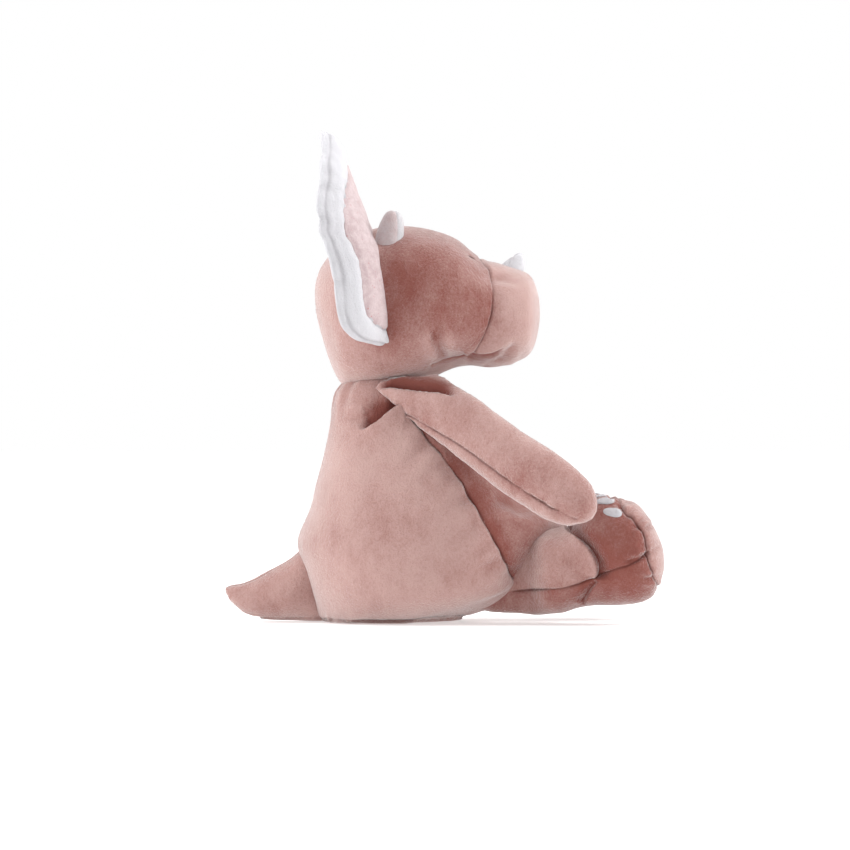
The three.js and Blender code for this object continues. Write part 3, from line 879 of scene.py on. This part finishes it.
# ---- Appliques ----
def applique(name, target, centre, along, half_length, half_width, height, point=0.0):
    """A small domed oval that lies on a form's surface. point narrows its far end."""
    rings, around = 7, 40
    sunk = 0.8
    drop = 12
    tree = BVHTree.FromObject(target, bpy.context.evaluated_depsgraph_get())
    place, facing, _, _ = tree.find_nearest(Vector(centre) * MM)
    place, facing = np.array(place) / MM, np.array(facing)
    u = np.array(along, float)
    u -= facing * (u @ facing)
    u /= np.linalg.norm(u)
    v = np.cross(facing, u)

    def layer(share, lift):
        points = []
        for i in range(around):
            turn = 2 * math.pi * i / around
            narrow = 1 - point * max(0, math.cos(turn))
            reach = half_length * math.cos(turn) * u + half_width * narrow * math.sin(turn) * v
            spot = place + share * reach
            ground, normal, _, _ = tree.ray_cast(Vector(spot + facing * drop) * MM, Vector(-facing))
            if ground is None:
                ground, normal, _, _ = tree.find_nearest(Vector(spot) * MM)
            points.append(np.array(ground) / MM + np.array(normal) * lift)
        return points

    shares = [(i + 1) / rings for i in range(rings)]
    verts = [layer(0, height)[0]]
    for share in shares:
        verts += layer(share, height * (1 - 0.55 * share**3))
    verts += layer(1.0, -sunk)
    verts.append(layer(0, -sunk)[0])
    return add_object(name, verts, ring_faces(rings + 1, around))


def make_eyes(head):
    for name, side in SIDES.items():
        along = [1, -0.35 * side, -0.6]
        eye = applique(f"stitched_eye_{name}", head, [47.5, side * 26, 259], along, 2.6, 1.0, 0.5)
        dress(eye, THREAD)
        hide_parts(f"eye_{name}")
        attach(eye, "head")


# ---- Frill ----
# Half of the outline from in front, as [distance to the side, z] from the top down.
FRILL_RIM = [
    [26, 346],
    [45, 334],
    [68, 318],
    [92, 285],
    [84, 264],
    [83, 246],
    [91, 216],
    [86, 203],
    [68, 197],
    [34, 197],
]
FRILL_CENTRE = np.array([0.0, 262.0])
FRILL_HALF = 6.5
FLAT_SHARE = 0.95
# The front face's x in the middle at each z, and how strongly its sides curl back there.
FRILL_FRONT = [
    [180, -5.3],
    [222, -5.4],
    [244, -8],
    [265, -15.7],
    [280, -23.5],
    [335, -44],
    [346, -49],
    [352, -53],
]
FRILL_CURL = [
    [190, 4],
    [211, 4.1],
    [229, 4.9],
    [247, 5.7],
    [263, 5.3],
    [272, 4.3],
    [281, 3.3],
    [291, 3.4],
    [304, 3.6],
    [318, 3.8],
    [334, 6],
    [352, 8],
]
CURL_SCALE = 1e-5


def frill_rim(count):
    """Points evenly spaced around the outline, as [y, z]."""
    half = lambda sign: [[sign * y, z] for y, z in FRILL_RIM]
    outline = [[0, 350], *half(1), [0, 197], *half(-1)[::-1]]
    p = np.array(outline, float)
    closed = catmull_rom(np.vstack([p[-1], p, p[:2]]), SPAN_POINTS)
    along = lengths_along(closed)
    spots = np.linspace(0, along[-1], count, endpoint=False)
    return np.column_stack([np.interp(spots, along, closed[:, i]) for i in range(2)])


def inset_share(y, z):
    """How far out the lining reaches: less at the top of the frill than beside and below."""
    up = (z - FRILL_CENTRE[1]) / np.maximum(np.hypot(y, z - FRILL_CENTRE[1]), 1)
    return 0.84 - 0.09 * step(up, 0.5, 0.95)


def frill_front_x(y, z):
    return spline(z, FRILL_FRONT) - CURL_SCALE * spline(z, FRILL_CURL) * np.abs(y) ** 3


def frill_swell(share):
    """Half the frill's thickness at a share of its radius."""
    return FRILL_HALF * (1 - 0.22 * share**6)


def frill_points(shares, depths, rim):
    """Points at some shares of the frill's radius, each ring moved forward by its depth."""
    rings = []
    for share, depth in zip(shares, depths):
        yz = FRILL_CENTRE + np.reshape(share, (-1, 1)) * (rim - FRILL_CENTRE)
        x = frill_front_x(yz[:, 0], yz[:, 1]) - FRILL_HALF + depth
        rings.append(np.column_stack([x, yz]))
    return rings


def rings_of(points, around):
    """The number of the ring that each point of a ring_object is on. A pole counts as its ring."""
    last = (len(points) - 2) // around - 1
    return np.clip((np.arange(len(points)) - 1) // around, 0, last)


def make_frill_shell(rim):
    inner = np.linspace(0.3, FLAT_SHARE, 60)
    edge = np.linspace(0, math.pi, 15)
    half = frill_swell(FLAT_SHARE)
    shares = [*inner, *(FLAT_SHARE + (1 - FLAT_SHARE) * np.sin(edge[1:-1])), *inner[::-1]]
    depths = [*frill_swell(inner), *(half * np.cos(edge[1:-1])), *(-frill_swell(inner[::-1]))]
    shell = ring_object("frill_shell", frill_points(shares, depths, rim))
    s = Sculpt(shell, seed=400, painted_light=0.5)
    count = len(rim)
    ring_of = rings_of(s.co, count)
    share = np.array(shares)[ring_of]
    arc = ((np.arange(len(s.co)) - 1) % count) * 2.0
    front = ring_of < len(inner)
    middle = len(inner) + (len(edge) - 2) / 2 - 3.5
    rim_gap = np.abs(ring_of - middle) * 1.1
    s.seam(lambda co: (rim_gap, arc), depth=0.9, width=1.3, pinch=0.4, spread=4, gather=0.4, pace=9)
    inset = inset_share(s.co[:, 1], s.co[:, 2])
    across = np.clip((share - inset) / (FLAT_SHARE - inset), 0, 1)
    s.lift += 1.6 * front * np.sin(math.pi * across) * step(np.abs(s.co[:, 1]) + s.co[:, 2], 262, 285)
    inset_gap = np.where(front, np.abs(share - inset) * 85, FAR)
    s.seam(lambda co: (inset_gap, arc), depth=1.0, width=1.6, pinch=0.8, spread=5, gather=0.3)
    s.lift -= 2.2 * front * (share < inset - 0.012)
    s.lumps(24, 0.5)
    s.lumps(9, 0.15)
    for height in (333, 284, 240):
        for side in SIDES.values():
            y = np.interp(height, rim[: count // 2, 1][::-1], rim[: count // 2, 0][::-1]) * side
            x = frill_front_x(np.array(y), np.array(height)) - FRILL_HALF
            s.dimple([x, y, height], depth=1.4, radius=3.5)
    s.finish()
    dress(shell, WHITE)
    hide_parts("frill_back", "frill_border", "frill_wadding")
    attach(shell, "frill")


def make_frill_inset(rim):
    """The lining: a thin panel whose edge is tucked into the shell's front."""
    reach = inset_share(rim[:, 0], rim[:, 1])
    parts = np.linspace(0.36, 1, 46)
    shares = [part * reach for part in parts]
    tuck = [1.6 * step(part, 0.957, 1) for part in parts]
    top = [frill_swell(share) - 0.1 - sunk for share, sunk in zip(shares, tuck)]
    under = [frill_swell(share) - 1.8 - 0.7 * sunk for share, sunk in zip(shares, tuck)]
    rings = frill_points([*shares, *shares[::-1]], [*top, *under[::-1]], rim)
    panel = ring_object("frill_inset_panel", rings)
    s = Sculpt(panel, seed=430)
    s.lumps(22, 0.4)
    s.lumps(9, 0.25)
    s.lumps(4, 0.1)
    s.lift *= rings_of(s.co, len(rim)) < len(parts) - 3
    s.finish()
    dress(panel, INSET)
    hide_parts("frill_inset")
    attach(panel, "frill")


# ---- Arms ----
def make_arm(name, side):
    keys = [[x, side * y, z, *ring] for x, y, z, *ring in ARM]
    outer = lambda co: co[:, 1] * side > np.interp(co[:, 0], [0, 40, 130], [36, 56, 95]) - 2
    edge = side_seam(ARM_SEAM, where=outer)
    arm = stuffed(f"arm_{name}", keys, [edge], squareness=0.95, voxel=2.6, levels=1)
    s = Sculpt(arm, seed=500 + side, painted_light=0.6)
    # Painted sheen: faces turned from the side are painted paler.
    s.painted_light += 0.25 * (1 - np.abs(s.normal[:, 1]))
    s.seam(edge, depth=1.3, width=1.0, pinch=1.0, spread=5, gather=0.8)
    facing_out = lambda co: co[:, 1] * side > np.interp(co[:, 0], [-25, 0, 40], [34, 34, 52])
    # The arm fold gets painted shade in its hollow.
    s.tuck(ARM_FOLD, depth=8, reach=8.5, over=2.5, where=facing_out, fade=(12, 14), dark=0.5, painted_fold_shade=1.1)
    s.lumps(30, 0.8)
    s.lumps(12, 0.25)
    s.dimple([8, side * 34, 177], depth=3.1, radius=10)
    s.finish()
    dress(arm, ROSE)
    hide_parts(f"arm_{name}_outer_panel", f"arm_{name}_inner_panel", f"arm_{name}_filling")
    hinge = JOINTS[f"shoulder_{name}"]
    root = Vector(hinge["pos_m"])
    reach = Vector([0.071, side * 0.071, 0.1185]) - root
    axis = Vector(hinge["axis"]).normalized()
    reach = (reach - axis * reach.dot(axis)).normalized() * 0.03
    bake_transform(arm)


# ---- Legs ----
def splayed(x, y, side):
    """A point of a leg that lies along X, turned outwards about its hip."""
    reach = x - HIP[0]
    outwards = HIP[1] + reach * math.sin(LEG_SPLAY) + y * math.cos(LEG_SPLAY)
    return HIP[0] + reach * math.cos(LEG_SPLAY) - y * math.sin(LEG_SPLAY), side * outwards


def make_leg(name, side):
    keys = [[*splayed(x, y, side), z, *ring] for x, y, z, *ring in LEG]
    sole = side_seam(SOLE_SEAM)
    sole_x = lambda z: spline(z, x_over_z(SOLE_SEAM))
    seam = side_seam(LEG_SEAM, where=lambda co: co[:, 0] < sole_x(co[:, 2]) + 2)
    leg = stuffed(f"leg_{name}", keys, [sole, seam], squareness=0.93)
    s = Sculpt(leg, seed=600 + side, painted_light=0.45)
    lower = s.co[:, 2] < spline(s.co[:, 0], LEG_SEAM)
    foot = s.co[:, 0] > spline(s.co[:, 2], [*x_over_z(ANKLE_FOLD[::-1]), [75, 100]])
    ahead = s.co[:, 0] > sole_x(s.co[:, 2])
    # Painted light: the foot and the lower panel are painted darker as painted shade, faces turned from
    # the side paler as painted sheen, and the sole ahead of its seam is set pale.
    s.painted_light = np.where(foot, 0.16, s.painted_light + 0.08)
    s.painted_light = np.where(lower, 0.3 - 0.22 * step(s.co[:, 0], 112, 135), s.painted_light)
    s.painted_light += 0.15 * (1 - np.abs(s.normal[:, 1]))
    s.painted_light = np.where(ahead, 0.7, s.painted_light)
    s.seam(sole, depth=1.5, width=1.0, pinch=1.3, spread=5, gather=0.9, pace=6)
    s.seam(seam, depth=1.2, width=1.0, pinch=0.9, spread=5)
    s.lumps(32, 0.9)
    s.lumps(12, 0.25)
    outside = lambda co: s.normal[:, 1] * side > -0.2
    instep = [*splayed(110, -14, side), 62]
    s.dimple(instep, depth=-7, radius=16)
    # Painted shade over the bulge at the instep.
    s.painted_light -= 0.35 * bell(np.linalg.norm(s.co - np.array(instep), axis=1), 13)
    # The ankle, shin, sole and claw folds get painted shade in their hollows.
    s.tuck(ANKLE_FOLD[::-1], depth=6.5, reach=7.5, over=2.0, fade=(14, 6), dark=0.4)
    s.tuck(SHIN_FOLD, depth=3.5, reach=6, over=1, where=outside, fade=(4, 4), dark=0.3)
    for fold in SOLE_FOLDS:
        s.crease(fold, depth=1.7, width=1.7, where=outside, fade=6, dark=0.25)
    for fold in CLAW_FOLDS:
        s.crease(fold, depth=1.5, width=1.5, where=outside, fade=3, dark=0.25)
    s.finish(floor=0.6)
    dress(leg, ROSE)
    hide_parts(f"leg_{name}_upper_panel", f"leg_{name}_lower_panel", f"foot_{name}_sole",
                f"leg_{name}_filling")
    along = [math.cos(LEG_SPLAY), side * math.sin(LEG_SPLAY), -0.25]
    for place, (x, y, z) in CLAWS.items():
        centre = [*splayed(x, y, side), z]
        claw = applique(f"toe_claw_{name}_{place}", leg, centre, along, 6.6, 3.4, 1.0, point=-0.3)
        dress(claw, WHITE)
        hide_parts(f"claw_{name}_{place}")
        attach(claw, f"leg_{name}")
    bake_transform(leg)


# ---- Tail ----
def make_tail():
    centre = plane_seam([-90, 0, 20], [0, 1, 0])
    tail = stuffed("tail", TAIL, [centre], squareness=0.97)
    # Painted light: the tail is painted pale as a painted highlight.
    s = Sculpt(tail, seed=700, painted_light=0.75)
    s.seam(centre, depth=1.1, pinch=0.6)
    s.lumps(22, 0.6)
    s.lumps(10, 0.25)
    s.finish(floor=0.6)
    dress(tail, ROSE)
    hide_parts("tail_side_right", "tail_side_left", "tail_filling")
    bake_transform(tail)


# ---- Scene ----
FLOOR_HALF = 20000
FLOOR_GREY = (0.72, 0.72, 0.72, 1)
FRONT_LEVEL = 0.5
TOY_CENTRE = (0.02, 0, 0.16)


def make_stage():
    """A white floor that glows a little, so that shadows on it stay faint."""
    corners = [[x * FLOOR_HALF, y * FLOOR_HALF, 0] for x, y in ((-1, -1), (1, -1), (1, 1), (-1, 1))]
    plane = add_object("floor", corners, [(0, 1, 2, 3)])
    s = Shader("floor")
    s.set(Base_Color=FLOOR_GREY, Roughness=0.9)
    s.set(Emission_Color=(1, 1, 1, 1), Emission_Strength=0.48)
    plane.data.materials.append(s.material)


def area_light(name, place, size, watts):
    light = bpy.data.lights.new(name, "AREA")
    light.shape = "DISK"
    light.size = size
    light.energy = watts
    obj = bpy.data.objects.new(name, light)
    obj.location = place
    obj.rotation_euler = (Vector(TOY_CENTRE) - Vector(place)).to_track_quat("-Z", "Y").to_euler()
    bpy.context.scene.collection.objects.link(obj)


def make_lights():
    """A studio that's weaker in front of the toy's right side than behind and beside it, and
    that is seen as plain white wherever the floor ends."""
    world = bpy.data.worlds.new("studio")
    world.use_nodes = True
    nodes, links = world.node_tree.nodes, world.node_tree.links
    direction = nodes.new("ShaderNodeSeparateXYZ")
    links.new(nodes.new("ShaderNodeTexCoord").outputs["Generated"], direction.inputs[0])
    level = nodes.new("ShaderNodeMapRange")
    for key, value in (("From Min", -0.9), ("From Max", 0.25), ("To Min", FRONT_LEVEL), ("To Max", 1.0)):
        level.inputs[key].default_value = value
    links.new(direction.outputs["Y"], level.inputs["Value"])
    strength = nodes.new("ShaderNodeMath")
    strength.operation = "MAXIMUM"
    links.new(level.outputs["Result"], strength.inputs[0])
    links.new(nodes.new("ShaderNodeLightPath").outputs["Is Camera Ray"], strength.inputs[1])
    links.new(strength.outputs[0], nodes["Background"].inputs["Strength"])
    nodes["Background"].inputs["Color"].default_value = (1, 1, 1, 1)
    bpy.context.scene.world = world
    area_light("left_softbox", (-1.3, -0.3, 0.8), size=0.9, watts=15)
    area_light("right_softbox", (1.4, -0.1, 0.9), size=0.9, watts=18)
    area_light("top_softbox", (0, 0.2, 1.7), size=1.0, watts=14)
    bpy.context.scene.view_settings.view_transform = "Standard"


def make_camera():
    """A long lens square to the toy's right side."""
    distance = 3.2
    seen = 0.606
    data = bpy.data.cameras.new("camera")
    data.sensor_width = 36
    data.lens = data.sensor_width * distance / seen
    camera = bpy.data.objects.new("camera", data)
    camera.location = (0.0143, -distance, 0.1404)
    camera.rotation_euler = (math.radians(90), 0, 0)
    bpy.context.scene.collection.objects.link(camera)
    bpy.context.scene.camera = camera


make_camera()
make_lights()
make_stage()
make_torso()
head_piece = make_head()
for side_name, side_sign in SIDES.items():
    make_horn(f"brow_horn_{side_name}", BROW_HORN, side_sign, PALE,
              [f"brow_horn_{side_name}_cover", f"brow_horn_{side_name}_filling"])
    make_arm(side_name, side_sign)
    make_leg(side_name, side_sign)
make_horn("nose_horn", NOSE_HORN, 1, WHITE, ["nose_horn_cover", "nose_horn_filling"])
make_eyes(head_piece)
frill_outline = frill_rim(300)
make_frill_shell(frill_outline)
make_frill_inset(frill_outline)
make_tail()
